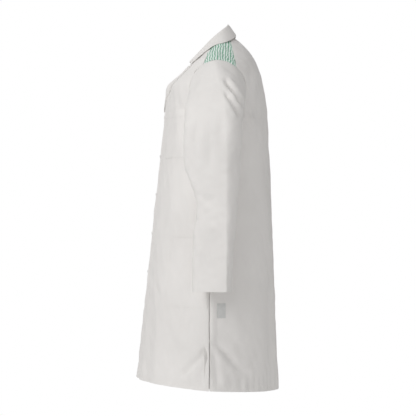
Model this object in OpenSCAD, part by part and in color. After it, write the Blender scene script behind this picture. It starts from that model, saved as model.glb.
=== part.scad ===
// Laboratory coat, hanging as it does on a wearer with relaxed arms.
// Millimetres. +Z is up, the front faces -Y and the wearer's left is +X.
// The origin is the centre of the neck opening, level with the back collar seam.

/* [Body] */
// Height of the hem at the side seams, below the back collar seam
hem_drop = 1038; // [1000:2:1060]
// Half width of the coat just under the armholes
chest_half = 220; // [216:1:224]
// Roundness of the horizontal sections at the front and back, where 2 is an ellipse
squareness = 2.4; // [2.2:0.1:2.6]
// Roundness of the same sections at the sides, where less is sharper
side_power = 1.35; // [1.3:0.05:1.6]
// Thickness of the panels
cloth = 1.6; // [1.4:0.1:1.8]

/* [Front] */
// Depth of the neckline V, where the lapels start to turn
break_drop = 232; // [228:1:236]
// How far each front runs past the centre line
overlap = 20; // [18:1:22]
// Width of the facings inside the front edges
facing_w = 68; // [60:1:72]
// Width of the lapels at the notch
lapel_w = 62; // [56:1:64]
// Number of press studs
stud_count = 5; // [4:1:5]
// Distance between press studs
stud_pitch = 115; // [105:1:120]
// Radius of a press stud cap
stud_r = 6; // [5:0.5:7]

/* [Armholes and sleeves] */
// Radius of the armhole
armhole_r = 82; // [80:0.5:83]
// Height of the armhole centre, below the back collar seam
armhole_drop = 172; // [170:1:174]
// Distance of the armhole centre behind the origin
armhole_y = 13; // [12:0.5:14]
// Height of the cuff edge, below the back collar seam
cuff_drop = 751; // [720:1:760]
// Width of the cuff from front to back
cuff_w = 107; // [104:1:110]
// Thickness of the sleeve fabric
sleeve_t = 1.6; // [1.4:0.1:1.8]

/* [Pockets and side openings] */
// Height of the chest pocket's mouth, below the back collar seam
chest_pocket_drop = 229; // [226:1:232]
// Height of the chest pocket
chest_pocket_h = 141; // [130:1:150]
// Height of the lower pockets' mouths, below the back collar seam
lower_pocket_drop = 602; // [590:1:610]
// Height of the lower pockets
lower_pocket_h = 200; // [190:1:205]
// How far a pocket stands open at its mouth
pocket_bulge = 13; // [12:0.5:14]
// Start of the side opening, below the back collar seam
slit_drop = 690; // [680:1:700]
// Foot of the side opening and head of the vent, below the back collar seam
vent_drop = 895; // [885:1:900]
// Width of the side opening
slit_gap = 6; // [5:0.5:7]

/* [Hidden] */

white = [0.9, 0.9, 0.88];
facing_white = [0.83, 0.83, 0.81];
gap = 0.7;              // between the edges of pieces that are sewn together
layer = 0.8;            // between cloth layers that lie on each other
left_lift = 6;          // the left front lies over the right one and its studs
hem_slope = 0.075;      // the hem falls from the front to the back
hem_zone = 300;         // height over which that slope fades out
neck_drop = 20;         // drop of the shoulder seam at the neck
side_y = -12;           // the side seam's place behind the origin, low on the coat
notch_drop = 97;        // top of the lapels

// Smaller of two values with a rounded change over a width k
function soft_min(p, q, k) =
    let (h = max(0, min(1, 0.5 + 0.5 * (q - p) / k))) q + (p - q) * h - k * h * (1 - h);
function ease(t) = let (c = max(0, min(1, t))) c * c * (3 - 2 * c);
function mix(p, q, t) = p + (q - p) * t;
function unit(v) = v / norm(v);
function power(t, k) = sign(t) * pow(abs(t), k);
function steps(n) = [for (i = [0:n]) i / n];
function span(low, high, n) = [for (i = [0:n]) mix(low, high, i / n)];

// The body's outline at a depth below the collar seam
function front_y(drop) = -soft_min(0.62 * drop + 0.0014 * drop * drop, 111.6 + 0.107 * drop, 12);
function back_y(drop) = 52 + 101 * (1 - exp(-drop / 66)) + 0.04 * drop;
function half_w(drop) = soft_min(75 + 1.94 * (drop - neck_drop), chest_half + 0.045 * drop, 30);
function ridge_y(drop) = -22 + 47 * exp(-(drop - neck_drop) / 160);

// A point of the body's surface: 0 degrees is the side, -90 the front and 90 the back
function body_point(angle, z) =
    let (
        drop = -z,
        ridge = ridge_y(drop),
        depth = angle < 0 ? ridge - front_y(drop) : back_y(drop) - ridge,
        y = ridge + depth * power(sin(angle), 2 / side_power),
        low = max(0, min(1, (drop - hem_drop + hem_zone) / hem_zone))
    )
    [half_w(drop) * power(cos(angle), 2 / squareness), y, z - hem_slope * y * low];
function body_normal(angle, z) =
    let (da = body_point(angle + 0.4, z) - body_point(angle - 0.4, z),
         dz = body_point(angle, z + 1) - body_point(angle, z - 1))
    unit(cross(da, dz));
function skin(angle, z, off) = body_point(angle, z) + off * body_normal(angle, z);

// The angle at which the surface reaches a given x on the front, or a given y
function front_angle(x, z) = -acos(power(x / half_w(-z), squareness / 2));
function y_angle(y, z) =
    let (ridge = ridge_y(-z),
         depth = y < ridge ? ridge - front_y(-z) : back_y(-z) - ridge)
    asin(power(max(-1, min(1, (y - ridge) / depth)), side_power / 2));

// Edges of the pieces
function armhole_dy(z) = sqrt(max(0, pow(armhole_r, 2) - pow(z + armhole_drop, 2)));
function roll_x(z) =
    let (t = (-z - neck_drop) / (break_drop - neck_drop)) 78 * (1 - pow(max(0, min(1, t)), 0.85));
function fold_x(z) = 70 + 0.1 * (-z - 232);
function seam_y(z) = side_y + (armhole_y - side_y) * (1 - ease((-z - armhole_drop - armhole_r) / 226));
function side_gap(z) = -z > slit_drop ? slit_gap / 2 : 2 * gap;
shoulder_front_z = -armhole_drop + sqrt(pow(armhole_r, 2) - pow(armhole_y + 28, 2));
shoulder_back_z = -armhole_drop + sqrt(pow(armhole_r, 2) - pow(68 - armhole_y, 2));
function shoulder_front_y(z) = mix(-28, 0, (z - shoulder_front_z) / (-25 - shoulder_front_z));
function shoulder_back_y(z) = mix(68, 51, (z - shoulder_back_z) / (-neck_drop - shoulder_back_z));
function front_outer_y(z) =
    z > shoulder_front_z ? shoulder_front_y(z) - gap :
    z > -armhole_drop - armhole_r ? armhole_y - max(gap, armhole_dy(z)) : seam_y(z) - side_gap(z);
function back_outer_y(z) =
    z > shoulder_back_z ? shoulder_back_y(z) + gap :
    z > -armhole_drop - armhole_r ? armhole_y + max(gap, armhole_dy(z)) : seam_y(z) + side_gap(z);
function lift(x) = left_lift * ease((60 - x) / 35);

// Closed sheet between two offsets of a surface place(u, v, off), over lists of u and v.
// Its outer side is the one that u turned towards v points at.
module sheet(place, us, vs, under, over, ring = false) {
    cols = len(us);
    rows = len(vs);
    count = cols * rows;
    points = [
        for (off = [over, under]) for (v = vs) for (u = us) place(u, v, off(u, v))
    ];
    last = ring ? cols - 1 : cols - 2;
    faces = [
        for (j = [0:rows - 2]) for (i = [0:last])
            let (k = (i + 1) % cols, a = j * cols + i, b = j * cols + k,
                 c = b + cols, d = a + cols)
            each [[a, d, c], [a, c, b],
                  [a + count, b + count, c + count], [a + count, c + count, d + count]],
        for (i = [0:last])
            let (k = (i + 1) % cols, a = i, b = k, c = (rows - 1) * cols + k, d = (rows - 1) * cols + i)
            each [[a, b, b + count], [a, b + count, a + count],
                  [c, d, d + count], [c, d + count, c + count]],
        if (!ring) for (j = [0:rows - 2])
            let (a = j * cols, d = a + cols, b = a + cols - 1, c = d + cols - 1)
            each [[d, a, a + count], [d, a + count, d + count],
                  [b, c, c + count], [b, c + count, b + count]]
    ];
    polyhedron(points, faces);
}
function flat(off) = function (u, v) off;
module right() {
    mirror([1, 0, 0]) children();
}

// Rows from the hem to the top, closer together where the edges turn
lower_rows = concat(span(-hem_drop, -slit_drop - 1, 5), span(-slit_drop + 1, -armhole_drop - armhole_r - 30, 12));
armhole_rows = [for (a = [-90:15:60]) -armhole_drop + armhole_r * sin(a)];

module back_panel() {
    rows = concat(lower_rows, [for (z = armhole_rows) if (z < shoulder_back_z - 4) z],
                  span(shoulder_back_z, -neck_drop, 3), [-9, -3]);
    place = function (u, z, off)
        let (edge = z > -neck_drop ? mix(30, 60, (z + neck_drop) / 17) : y_angle(back_outer_y(z), z))
        skin(mix(edge, 180 - edge, u), z, off);
    color(white) sheet(place, steps(44), rows, flat(0), flat(cloth));
}

module front_panel() {
    rows = concat(lower_rows, [for (z = armhole_rows) if (z < -break_drop - 4) z],
                  [-break_drop + 0.5, -break_drop + 1.5],
                  [for (z = armhole_rows) if (z > -break_drop + 6 && z < shoulder_front_z - 4) z],
                  span(shoulder_front_z, -27, 4));
    inner = function (z) -z > break_drop - 1 ? fold_x(z) + 0.5 : roll_x(z);
    place = function (u, z, off)
        skin(mix(front_angle(inner(z), z), y_angle(front_outer_y(z), z), u), z, off);
    color(white) sheet(place, steps(14), rows, flat(0), flat(cloth));
}

// Turning part of a front, from its edge to the line that it turns on
module front_edge(raised) {
    place = function (u, z, off)
        let (x = mix(-overlap, fold_x(z) - 0.5, u)) skin(front_angle(x, z), z, off + raised * lift(x));
    color(white) sheet(place, steps(14), span(-hem_drop, -break_drop - 1, 12), flat(0), flat(cloth));
}

module front_facing(raised) {
    place = function (u, z, off)
        let (x = mix(-overlap, facing_w - overlap, u)) skin(front_angle(x, z), z, off + raised * lift(x));
    color(facing_white)
        sheet(place, steps(8), span(-hem_drop + 4, -break_drop - 2, 9), flat(-1.2 - layer), flat(-layer));
}

// The front turned back along the neckline V, with its facing outside
module lapel(raised) {
    place = function (u, z, off)
        let (up = (break_drop + z) / (break_drop - notch_drop),
             x = roll_x(z) + 2 + lapel_w * pow(up, 0.7) * u)
        skin(front_angle(x, z), z, off + raised * lift(x));
    color(white)
        sheet(place, steps(6), span(-break_drop + 8, -notch_drop, 8), flat(cloth + 1.4), flat(cloth + 3.2));
}

module shoulder_panel() {
    place = function (u, v, off)
        let (arc = mix(-28, 68, u) - armhole_y,
             low_z = -armhole_drop + sqrt(pow(armhole_r, 2) - pow(arc, 2)),
             y = mix(mix(-28, 68, u), mix(0, 51, u), v),
             z = mix(low_z, mix(-27, -neck_drop, u), v))
        skin(y_angle(y, z), z, off);
    inset = [0.006, 0.12, 0.24, 0.36, 0.48, 0.6, 0.72, 0.84, 0.994];
    color([0.66, 0.79, 0.7]) sheet(place, inset, steps(7), flat(0), flat(cloth));
}

// Sleeve: a short stub through the armhole, then a bend round the armpit, then the arm.
// Its sections are rings that start at the cuff.
arm_top = -300;
arm_stub_x = 243;
function arm_front(z) = mix(-83, -47, ease((-z - 385) / 150)) - 10 * ease((-z - 520) / 80);
function arm_back(z) = mix(80, cuff_w - 57, ease((z - arm_top) / (-cuff_drop - arm_top)));
function arm_inner(z) = half_w(-z) + mix(5, 18, (z - arm_top) / (-cuff_drop - arm_top));
function arm_outer(z) = mix(352, 350, (z - arm_top) / (-cuff_drop - arm_top));
arm_ridge = 36;         // the sleeve's outer and inner creases lie this far behind the origin
function arm_ring(a, z, off) =
    let (cx = (arm_inner(z) + arm_outer(z)) / 2, rx = (arm_outer(z) - arm_inner(z)) / 2,
         ry = sin(a) < 0 ? arm_ridge - arm_front(z) : arm_back(z) - arm_ridge)
    [cx + (rx + off) * power(cos(a), 0.8), arm_ridge + (ry + off) * power(sin(a), 1.45), z];
function stub_point(a, off) =
    let (r = armhole_r - 3 - sleeve_t + off)
    [arm_stub_x, armhole_y + r * sin(a), -armhole_drop + r * cos(a)];
function stub_x(a) =
    let (y = armhole_y + armhole_r * sin(a), z = -armhole_drop + armhole_r * cos(a))
    body_point(y_angle(y, z), z).x;
function bend(p, q, t) =
    let (reach = (q.x - p.x) * 0.65, fall = (p.z - q.z) * 0.55, s = 1 - t)
    s * s * s * p + 3 * s * s * t * (p + [reach, 0, -0.4 * reach]) + 3 * s * t * t * (q + [0, 0, fall])
        + t * t * t * q;
function sleeve_point(a, v, off) =
    v <= 1 ? arm_ring(a, mix(-cuff_drop, arm_top, v), off) :
    v <= 2 ? bend(stub_point(a, off), arm_ring(a, arm_top, off), 2 - v) :
    let (p = stub_point(a, off)) [mix(arm_stub_x, stub_x(a), v - 2), p.y, p.z];
sleeve_angles = [for (a = [0:15:345]) a];

module sleeve() {
    color(white)
        sheet(function (u, v, off) sleeve_point(u, v, off), sleeve_angles,
              concat(span(0, 1, 7), span(1.17, 2, 5), [3]), flat(0), flat(sleeve_t), true);
}

module cuff_hem() {
    color(facing_white)
        sheet(function (u, v, off) sleeve_point(u, v, off), sleeve_angles,
              [0.004, 0.03, 0.06], flat(-1 - layer), flat(-layer), true);
}

// Collar lines on the left half, from the centre of the back to the notch
seam_line = [skin(90, -3, 5), skin(52, -7, 6), skin(24, -22, 9), skin(front_angle(86, -32), -32, 6.5),
             skin(front_angle(80, -56), -56, 6), skin(front_angle(60, -90), -90, 6)];
fold_line = [[0, 44, 34], [38, 37, 30], [60, 16, 15], [68, -9, -10], [66, -39, -44], [68, -77, -79.5]];
edge_line = [[0, 69, 2], skin(56, -14, 9), skin(22, -30, 9), skin(-30, -43, 9),
             skin(front_angle(112, -76), -76, 9), skin(front_angle(98, -93), -93, 9)];
function along(line, s) =
    let (n = len(line) - 1, f = abs(s) * n, i = min(n - 1, floor(f)), p = mix(line[i], line[i + 1], f - i))
    [sign(s) * p.x, p.y, p.z];
// Across the collar: 0 is the neck seam, 1 the fold and 2 the free edge
function collar_mid(s, v) =
    let (seam = along(seam_line, s), fold = along(fold_line, s), edge = along(edge_line, s), t = v / 2,
         pull = mix(1, 0.2, pow(abs(s), 0.6)), crest = (1 + pull) * fold - pull * (seam + edge) / 2)
    (1 - t) * (1 - t) * seam + 2 * t * (1 - t) * crest + t * t * edge;
// Positive offsets lie inside the fold, under the collar
function collar_point(s, v, off) =
    let (e = 0.04, ds = collar_mid(s + e, v) - collar_mid(s - e, v),
         dv = collar_mid(s, v + e) - collar_mid(s, v - e))
    collar_mid(s, v) + off * unit(cross(dv, ds));

module under_collar() {
    color(facing_white)
        sheet(function (u, v, off) collar_point(v, u, off), span(0, 2, 12), span(-1, 1, 30),
              flat(0.6), flat(1.7));
}

module upper_collar() {
    color(white)
        sheet(function (u, v, off) collar_point(v, u, off), span(0, 2, 12), span(-1, 1, 30),
              flat(-2), flat(-0.9));
}

module back_neck_facing() {
    place = function (u, z, off) let (edge = mix(34, 62, (z + 75) / 69)) skin(mix(edge, 180 - edge, u), z, off);
    color(facing_white) sheet(place, steps(22), span(-75, -6, 5), flat(-2.8), flat(-1.6));
}

// Patch pocket, sewn at its sides and foot and open at its mouth
module patch_pocket(first, last, low_z, high_z) {
    place = function (u, z, off) skin(mix(first(z), last(z), u), z, off);
    open = function (u, z) pocket_bulge * pow(sin(180 * u), 0.6) * pow((z - low_z) / (high_z - low_z), 0.7);
    us = [0, 0.06, 0.15, 0.3, 0.5, 0.7, 0.85, 0.94, 1];
    color(white)
        sheet(place, us, span(low_z, high_z, 7), function (u, z) cloth + layer + open(u, z),
              function (u, z) cloth + layer + 1.4 + open(u, z));
}

module chest_pocket() {
    patch_pocket(function (z) front_angle(fold_x(z) + 9, z), function (z) front_angle(204, z),
                 -chest_pocket_drop - chest_pocket_h, -chest_pocket_drop);
}

module lower_pocket() {
    patch_pocket(function (z) front_angle(178, z), function (z) y_angle(side_y - 5, z),
                 -lower_pocket_drop - lower_pocket_h, -lower_pocket_drop);
}

// Strip of facing behind one edge of the side opening
module side_facing(low_z, high_z) {
    place = function (u, z, off) skin(y_angle(side_y + slit_gap / 2 + mix(0, 25, u), z), z, off);
    color(facing_white) sheet(place, steps(8), span(low_z, high_z, 4), flat(-1.2 - layer), flat(-layer));
}

module slit_facing() {
    side_facing(-vent_drop + 3, -slit_drop + 8);
}

module vent_facing() {
    side_facing(-hem_drop + 6, -vent_drop - 3);
}

module bar_tacks() {
    for (turn = [0, 1]) mirror([turn, 0, 0]) color(white)
        sheet(function (u, z, off) skin(y_angle(side_y + mix(-7, 7, u), z), z, off), steps(6),
              span(-vent_drop - 1.5, -vent_drop + 1.5, 1), flat(cloth + layer), flat(cloth + 1.6));
}

// A turned piece on each press stud's axis, as [from, to, outer radius, bore radius] in
// distances outside the body's front
module studs(rings) {
    for (i = [0:stud_count - 1]) {
        z = -break_drop - 14 - i * stud_pitch;
        at = body_point(-90, z);
        tilt = atan2(front_y(-z - 1) - front_y(-z + 1), 2);
        translate(at) rotate([90 - tilt, 0, 0]) for (r = rings) difference() {
            translate([0, 0, r[0]]) cylinder(h = r[1] - r[0], r = r[2], $fn = 48);
            if (r[3] > 0) translate([0, 0, r[0] - 1]) cylinder(h = r[1] - r[0] + 2, r = r[3], $fn = 48);
        }
    }
}

stud_out = left_lift + cloth + 0.2;
stud_in = left_lift - layer - 1.4;

module stud_caps() {
    color([0.93, 0.93, 0.92]) studs([[stud_out, stud_out + 1.6, stud_r, 0]]);
}

module stud_sockets() {
    color("silver") studs([[stud_in - 1.4, stud_in, stud_r - 0.6, 2.9]]);
}

module stud_posts() {
    color("silver") studs([[cloth + 0.1, cloth + 0.7, stud_r - 0.6, 0], [cloth + 0.7, 3.2, 2.2, 0]]);
}

module stud_backs() {
    color("silver") studs([[-3.1, -2.2, stud_r - 0.6, 2]]);
}

module neck_label() {
    place = function (u, z, off) skin(mix(78, 102, u), z, off);
    color([0.95, 0.95, 0.94]) sheet(place, steps(4), span(-46, -24, 2), flat(-4.2), flat(-3.6));
}

// Tape loop under the collar seam, flat in the plane of the back
module hanger_loop() {
    color(facing_white) translate([0, 53, -7]) rotate([90, 180, 0])
        rotate_extrude(angle = 180, $fn = 48) translate([20, 0]) square([6, 1]);
}

module side_label() {
    place = function (u, z, off) skin(y_angle(mix(10.5, 34.5, u), z), z, off);
    color([0.6, 0.6, 0.6]) sheet(place, steps(3), span(-830, -788, 3), flat(cloth + layer), flat(cloth + 1.5));
}

back_panel();
front_panel();  // front_panel_left
right() front_panel();  // front_panel_right
front_edge(1);  // front_edge_left
right() front_edge(0);  // front_edge_right
front_facing(1);  // front_facing_left
right() front_facing(0);  // front_facing_right
lapel(1);  // lapel_left
right() lapel(0);  // lapel_right
shoulder_panel();  // shoulder_panel_left
right() shoulder_panel();  // shoulder_panel_right
sleeve();  // sleeve_left
right() sleeve();  // sleeve_right
cuff_hem();  // cuff_hem_left
right() cuff_hem();  // cuff_hem_right
under_collar();
upper_collar();
back_neck_facing();
chest_pocket();
lower_pocket();  // lower_pocket_left
right() lower_pocket();  // lower_pocket_right
slit_facing();  // slit_facing_left
right() slit_facing();  // slit_facing_right
vent_facing();  // vent_facing_left
right() vent_facing();  // vent_facing_right
bar_tacks();
stud_caps();
stud_sockets();
stud_posts();
stud_backs();
neck_label();
hanger_loop();
side_label();
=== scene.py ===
import math
import bpy
import numpy as np
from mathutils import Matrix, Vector


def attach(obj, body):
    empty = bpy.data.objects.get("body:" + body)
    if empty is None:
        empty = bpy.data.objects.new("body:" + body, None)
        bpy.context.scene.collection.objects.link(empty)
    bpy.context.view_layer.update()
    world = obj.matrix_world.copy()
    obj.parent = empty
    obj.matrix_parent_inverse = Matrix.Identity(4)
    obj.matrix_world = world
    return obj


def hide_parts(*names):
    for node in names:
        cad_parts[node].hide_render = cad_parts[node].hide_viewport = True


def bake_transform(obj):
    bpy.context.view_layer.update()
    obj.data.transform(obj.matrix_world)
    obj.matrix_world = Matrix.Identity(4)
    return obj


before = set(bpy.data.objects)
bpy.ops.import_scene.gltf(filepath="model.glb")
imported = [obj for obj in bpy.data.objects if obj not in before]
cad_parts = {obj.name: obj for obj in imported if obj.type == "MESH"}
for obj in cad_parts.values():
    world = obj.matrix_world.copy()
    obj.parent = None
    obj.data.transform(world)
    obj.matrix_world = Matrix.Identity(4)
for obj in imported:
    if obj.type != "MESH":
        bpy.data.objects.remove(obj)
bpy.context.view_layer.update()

# A white lab coat as it hangs on a wearer. The front faces -Y, the wearer's left is +X and the
# origin is the centre of the neck opening. Lengths are metres; a drop is a depth below the origin.

coat = {
    "hemDrop": 1.038,
    "chestHalf": 0.220,      # half width under the armholes
    "frontPower": 2.4,       # roundness of the sections at the front and back, 2 is an ellipse
    "sidePower": 1.35,       # roundness at the sides, less is sharper
    "cloth": 0.0009,         # twill with its sewing allowances, a little thicker than one layer
    "overlap": 0.020,        # how far each front runs past the centre
    "leftLift": 0.006,       # the left front lies over the right one and its studs
    "breakDrop": 0.232,      # foot of the neckline V
    "neckDrop": 0.020,
    "armholeR": 0.082,
    "armholeDrop": 0.172,
    "armholeY": 0.013,
    "sideY": -0.012,         # side seam, low on the coat
    "slitDrop": 0.690,       # head of the side opening
    "ventDrop": 0.895,       # its foot, where the hem vent starts
    "slitGap": 0.002,
    "hemSlope": 0.075,       # the hem falls from the front to the back
    "hemZone": 0.300,
    "hemTurn": 0.012,        # depth of the hem stitching
}
gridStep = 0.006             # size of the cloth's mesh squares
sides = ((1, "left"), (-1, "right"))   # the way along X, and the wearer's side


def softMin(p, q, width):
    h = np.clip(0.5 + 0.5 * (q - p) / width, 0, 1)
    return q + (p - q) * h - width * h * (1 - h)


def ease(t):
    c = np.clip(t, 0, 1)
    return c * c * (3 - 2 * c)


def mix(p, q, t):
    return p + (q - p) * t


def power(t, k):
    return np.sign(t) * np.abs(t) ** k


# the body's outline at a drop

def frontY(drop):
    return -softMin(0.62 * drop + 1.4 * drop * drop, 0.1116 + 0.107 * drop, 0.012)


def backY(drop):
    return 0.052 + 0.101 * (1 - np.exp(-drop / 0.066)) + 0.04 * drop


def halfWidth(drop):
    return softMin(0.075 + 1.94 * (drop - coat["neckDrop"]), coat["chestHalf"] + 0.045 * drop, 0.030)


def ridgeY(drop):
    return -0.022 + 0.047 * np.exp(-(drop - coat["neckDrop"]) / 0.160)


def bodyPoint(angle, z):   # 0 is the side, -90 degrees the front and 90 the back
    angle, z = np.broadcast_arrays(np.asarray(angle, float), np.asarray(z, float))
    ridge = ridgeY(-z)
    depth = np.where(angle < 0, ridge - frontY(-z), backY(-z) - ridge)
    y = ridge + depth * power(np.sin(angle), 2 / coat["sidePower"])
    low = np.clip((-z - coat["hemDrop"] + coat["hemZone"]) / coat["hemZone"], 0, 1)
    x = halfWidth(-z) * power(np.cos(angle), 2 / coat["frontPower"])
    return np.stack([x, y, z - coat["hemSlope"] * y * low], -1)


def frontAngle(x, z):
    return -np.arccos(power(np.clip(x / halfWidth(-z), -1, 1), coat["frontPower"] / 2))


def yAngle(y, z):
    ridge = ridgeY(-z)
    depth = np.where(y < ridge, ridge - frontY(-z), backY(-z) - ridge)
    return np.arcsin(power(np.clip((y - ridge) / depth, -1, 1), coat["sidePower"] / 2))


def bodySkin(degrees, z, off):
    a = math.radians(degrees)
    across = bodyPoint(a + 0.007, z) - bodyPoint(a - 0.007, z)
    up = bodyPoint(a, z + 0.001) - bodyPoint(a, z - 0.001)
    n = np.cross(across, up)
    return bodyPoint(a, z) + off * n / np.linalg.norm(n)


# edges of the pieces

def armholeHalf(z):
    return np.sqrt(np.maximum(0, coat["armholeR"] ** 2 - (z + coat["armholeDrop"]) ** 2))


def seamY(z):
    fall = ease((-z - coat["armholeDrop"] - coat["armholeR"]) / 0.226)
    return coat["sideY"] + (coat["armholeY"] - coat["sideY"]) * (1 - fall)


def rollX(z):   # the line on which the neckline is turned back
    t = np.clip((-z - coat["neckDrop"]) / (coat["breakDrop"] - coat["neckDrop"]), 0, 1)
    return 0.078 * (1 - t ** 0.85)


def armholeZ(y):
    return -coat["armholeDrop"] + math.sqrt(coat["armholeR"] ** 2 - (y - coat["armholeY"]) ** 2)


inset = {"frontY": -0.028, "backY": 0.068, "neckFrontY": 0.0, "neckBackY": 0.051}
insetFrontZ = armholeZ(inset["frontY"])
insetBackZ = armholeZ(inset["backY"])
underarmZ = -coat["armholeDrop"] - coat["armholeR"]


# A surface is a grid of points, rows from foot to top, and outwards is column turned towards row.

def normals(grid, ring=False):
    if ring:
        wide = np.concatenate([grid[:, -1:], grid, grid[:, :1]], 1)
        across = (wide[:, 2:] - wide[:, :-2]) / 2
    else:
        across = np.gradient(grid, axis=1)
    n = np.cross(across, np.gradient(grid, axis=0))
    return n / np.maximum(np.linalg.norm(n, axis=-1, keepdims=True), 1e-12)


def evenColumns(grid, count):   # the same rows, with points at even distances
    rows = []
    for row in grid:
        run = np.concatenate([[0], np.cumsum(np.linalg.norm(np.diff(row, axis=0), axis=1))])
        at = np.linspace(0, run[-1], count)
        rows.append(np.stack([np.interp(at, run, row[:, k]) for k in range(3)], -1))
    return np.array(rows)


def sample(grid, rows, cols):   # the grid at fractional rows and columns
    rows, cols = np.broadcast_arrays(np.asarray(rows, float), np.asarray(cols, float))
    r0 = np.clip(np.floor(rows).astype(int), 0, grid.shape[0] - 2)
    c0 = np.clip(np.floor(cols).astype(int), 0, grid.shape[1] - 2)
    fr = (rows - r0)[..., None]
    fc = (cols - c0)[..., None]
    low = grid[r0, c0] * (1 - fc) + grid[r0, c0 + 1] * fc
    high = grid[r0 + 1, c0] * (1 - fc) + grid[r0 + 1, c0 + 1] * fc
    return low * (1 - fr) + high * fr


def surface(grid, rowZ=None, ring=False, relief=None):
    if relief is not None:
        grid = grid + normals(grid, ring) * relief(grid)[..., None]
    return {"grid": grid, "normal": normals(grid, ring), "rowZ": rowZ, "ring": ring}


def rowAt(cloth, z):
    return np.interp(z, cloth["rowZ"], np.arange(len(cloth["rowZ"])))


def zAt(cloth, rows):
    return np.interp(rows, np.arange(len(cloth["rowZ"])), cloth["rowZ"])


def shareAt(cloth, z):   # how far up the cloth a height lies, from 0 to 1
    return rowAt(cloth, z) / len(cloth["rowZ"])


def columnAt(cloth, row, value, axis):   # the column where a row reaches an x (0) or a y (1)
    value, row = np.broadcast_arrays(np.asarray(value, float), np.asarray(row, float))
    near = cloth["grid"][np.clip(np.round(row).astype(int), 0, len(cloth["grid"]) - 1), :, axis]
    cols = np.arange(near.shape[-1])
    flat = near.reshape(-1, near.shape[-1])
    found = [np.interp(v, r[:r.argmax() + 1], cols[:r.argmax() + 1]) for v, r in zip(value.ravel(), flat)]
    return np.array(found).reshape(value.shape)


def layer(cloth, rows, cols, off):   # a smaller piece that lies on another one
    rows, cols = np.broadcast_arrays(rows, cols)
    grid = sample(cloth["grid"], rows, cols)
    grid = grid + sample(cloth["normal"], rows, cols) * np.broadcast_to(off, rows.shape)[..., None]
    return {"grid": grid, "normal": normals(grid), "rowZ": None, "ring": False}


def insideEdge(cloth, edge, distance, off=0.0, first=0.0, last=1.0):
    # the line a fixed distance inside one edge of a piece
    grid = cloth["grid"] + cloth["normal"] * off
    lines = {"foot": grid.transpose(1, 0, 2), "top": grid[::-1].transpose(1, 0, 2),
             "start": grid, "end": grid[:, ::-1]}[edge]
    points = []
    for line in lines[int(first * len(lines)):max(2, int(last * len(lines)))]:
        run = np.concatenate([[0], np.cumsum(np.linalg.norm(np.diff(line, axis=0), axis=1))])
        points.append([np.interp(distance, run, line[:, k]) for k in range(3)])
    points = np.array(points)
    if cloth["ring"] and edge in ("foot", "top"):
        points = np.concatenate([points, points[:1]])
    return points


def mirrored(cloth):
    grid = cloth["grid"][:, ::-1] * [-1, 1, 1]
    return surface(grid, cloth["rowZ"], cloth["ring"])


def makeCloth(name, cloth, material, under, over):
    # a closed thin shell between two distances from the surface, with a UV map in metres
    grid, normal, ring = cloth["grid"], cloth["normal"], cloth["ring"]
    rows, cols = grid.shape[:2]
    count = rows * cols
    points = np.concatenate([(grid + normal * over).reshape(-1, 3), (grid + normal * under).reshape(-1, 3)])
    wide = np.concatenate([grid, grid[:, :1]], 1) if ring else grid
    run = np.cumsum(np.linalg.norm(np.diff(wide, axis=1), axis=2), axis=1)
    across = np.concatenate([np.zeros((rows, 1)), run], 1)
    across = across - across[:, -1:] / 2
    rise = np.linalg.norm(np.diff(wide, axis=0), axis=2)
    up = np.concatenate([np.zeros((1, wide.shape[1])), np.cumsum(rise, axis=0)], 0)
    faces, maps = [], []

    def quad(corners, levels):
        faces.append([level * count + j * cols + (i % cols) for (j, i), level in zip(corners, levels)])
        maps.extend([(across[j, i], up[j, i]) for j, i in corners])

    last = cols if ring else cols - 1
    for j in range(rows - 1):
        for i in range(last):
            a, b, c, d = (j, i), (j, i + 1), (j + 1, i + 1), (j + 1, i)
            quad((a, b, c, d), (0, 0, 0, 0))
            quad((d, c, b, a), (1, 1, 1, 1))
    for i in range(last):
        a, b, c, d = (0, i), (0, i + 1), (rows - 1, i + 1), (rows - 1, i)
        quad((a, a, b, b), (0, 1, 1, 0))
        quad((d, c, c, d), (0, 0, 1, 1))
    if not ring:
        for j in range(rows - 1):
            a, d, b, c = (j, 0), (j + 1, 0), (j, cols - 1), (j + 1, cols - 1)
            quad((a, d, d, a), (0, 0, 1, 1))
            quad((b, b, c, c), (0, 1, 1, 0))
    return meshPiece(name, points, faces, material, maps)


def meshPiece(name, points, faces, material, maps=None, sharpness=40):
    mesh = bpy.data.meshes.new(name)
    mesh.from_pydata([tuple(p) for p in points], [], faces)
    if maps is not None:
        mesh.uv_layers.new(name="cloth")
        mesh.uv_layers["cloth"].data.foreach_set("uv", np.array(maps, dtype=np.float32).ravel())
    mesh.polygons.foreach_set("use_smooth", [True] * len(mesh.polygons))
    mesh.set_sharp_from_angle(angle=math.radians(sharpness))
    mesh.materials.append(material)
    mesh.update()
    piece = bpy.data.objects.new(name, mesh)
    bpy.context.scene.collection.objects.link(piece)
    return piece


def declare(cloth):
    grid = cloth["grid"]
    if cloth["ring"]:
        grid = np.concatenate([grid, grid[:, :1]], 1)


def linear(hexColour):
    parts = [int(hexColour[k:k + 2], 16) / 255 for k in (1, 3, 5)]
    return tuple(p / 12.92 if p <= 0.04045 else ((p + 0.055) / 1.055) ** 2.4 for p in parts) + (1.0,)


def addNode(tree, kind, settings=None, links=None):
    node = tree.nodes.new(kind)
    for key, value in (settings or {}).items():
        if isinstance(key, str) and hasattr(node, key):
            setattr(node, key, value)
        else:
            node.inputs[key].default_value = value
    for key, socket in (links or {}).items():
        tree.links.new(socket, node.inputs[key])
    return node


def newMaterial(name, shader):
    material = bpy.data.materials.new(name)
    material.use_nodes = True
    tree = material.node_tree
    tree.nodes.clear()
    surfaceShader = addNode(tree, "ShaderNodeBsdfPrincipled", shader)
    addNode(tree, "ShaderNodeOutputMaterial", None, {"Surface": surfaceShader.outputs["BSDF"]})
    return material, tree, surfaceShader


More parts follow.
